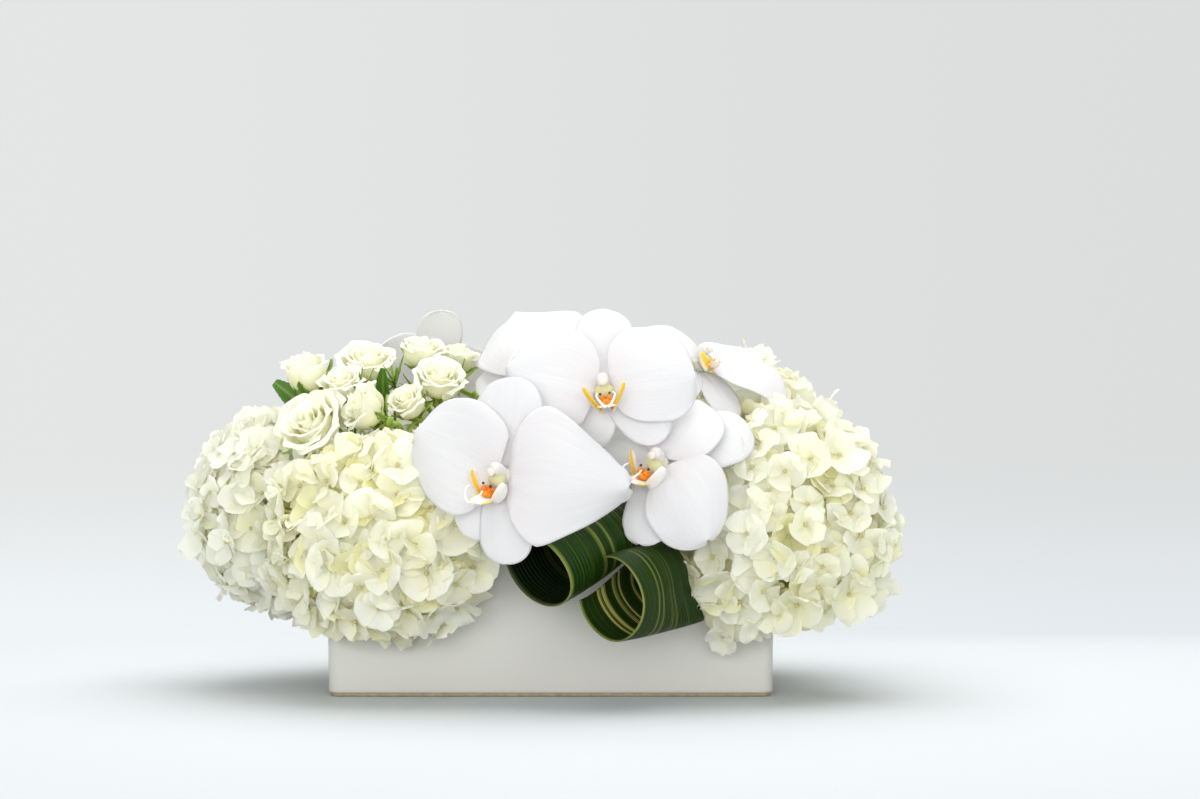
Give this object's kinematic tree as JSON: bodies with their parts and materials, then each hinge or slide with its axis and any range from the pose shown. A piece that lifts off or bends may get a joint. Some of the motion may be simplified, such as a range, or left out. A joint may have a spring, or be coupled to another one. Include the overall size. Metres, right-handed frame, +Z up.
{
  "type": "floral table centerpiece",
  "caption": "Low rectangular white ceramic vase filled with white hydrangea heads, small cream roses, large moth orchid blooms and rolled striped leaves.",
  "frame": {"origin": "middle of the vase's underside", "axes": "+X along the vase to the right, +Y to the back, +Z up; the front faces -Y"},
  "size_m": [0.418, 0.2515, 0.2221],
  "materials": {
    "glaze": "smooth white glaze with an unglazed foot line",
    "foam": "wet dark green foam",
    "stem": "smooth green stem",
    "hydrangea_petal": "soft white petals, yellow-green towards the middle of the head",
    "rose_petal": "velvety cream petals",
    "orchid_petal": "waxy white petals",
    "orchid_lip": "waxy yellow and orange lip with white lobes",
    "leaf": "dark green leaf with cream stripes, a soft sheen"
  },
  "bodies": {
    "root": {"floral_foam": "foam", "hydrangea_head_left_back": "hydrangea_petal", "hydrangea_head_left_end": "hydrangea_petal", "hydrangea_head_left_front": "hydrangea_petal", "hydrangea_head_middle_back": "hydrangea_petal", "hydrangea_head_right_back": "hydrangea_petal", "hydrangea_head_right_front": "hydrangea_petal", "hydrangea_stem_left_back": "stem", "hydrangea_stem_left_end": "stem", "hydrangea_stem_left_front": "stem", "hydrangea_stem_middle_back": "stem", "hydrangea_stem_right_back": "stem", "hydrangea_stem_right_front": "stem", "orchid_bloom_1": "orchid_petal", "orchid_bloom_2": "orchid_petal", "orchid_bloom_3": "orchid_petal", "orchid_bloom_4": "orchid_petal", "orchid_bloom_5": "orchid_petal", "orchid_bloom_6": "orchid_petal", "orchid_lip_1": "orchid_lip", "orchid_lip_2": "orchid_lip", "orchid_lip_3": "orchid_lip", "orchid_lip_4": "orchid_lip", "orchid_lip_5": "orchid_lip", "orchid_lip_6": "orchid_lip", "orchid_spike_back": "stem", "orchid_spike_front": "stem", "rolled_leaf_left": "leaf", "rolled_leaf_right": "leaf", "rose_spray_left": "stem", "rose_spray_left_bloom_1": "rose_petal", "rose_spray_left_bloom_2": "rose_petal", "rose_spray_left_bloom_3": "rose_petal", "rose_spray_middle": "stem", "rose_spray_middle_bloom_1": "rose_petal", "rose_spray_middle_bloom_2": "rose_petal", "rose_spray_middle_bloom_3": "rose_petal", "rose_spray_right": "stem", "rose_spray_right_bloom_1": "rose_petal", "rose_spray_right_bloom_2": "rose_petal", "rose_spray_right_bloom_3": "rose_petal", "vase": "glaze"}
  },
  "joints": []
}
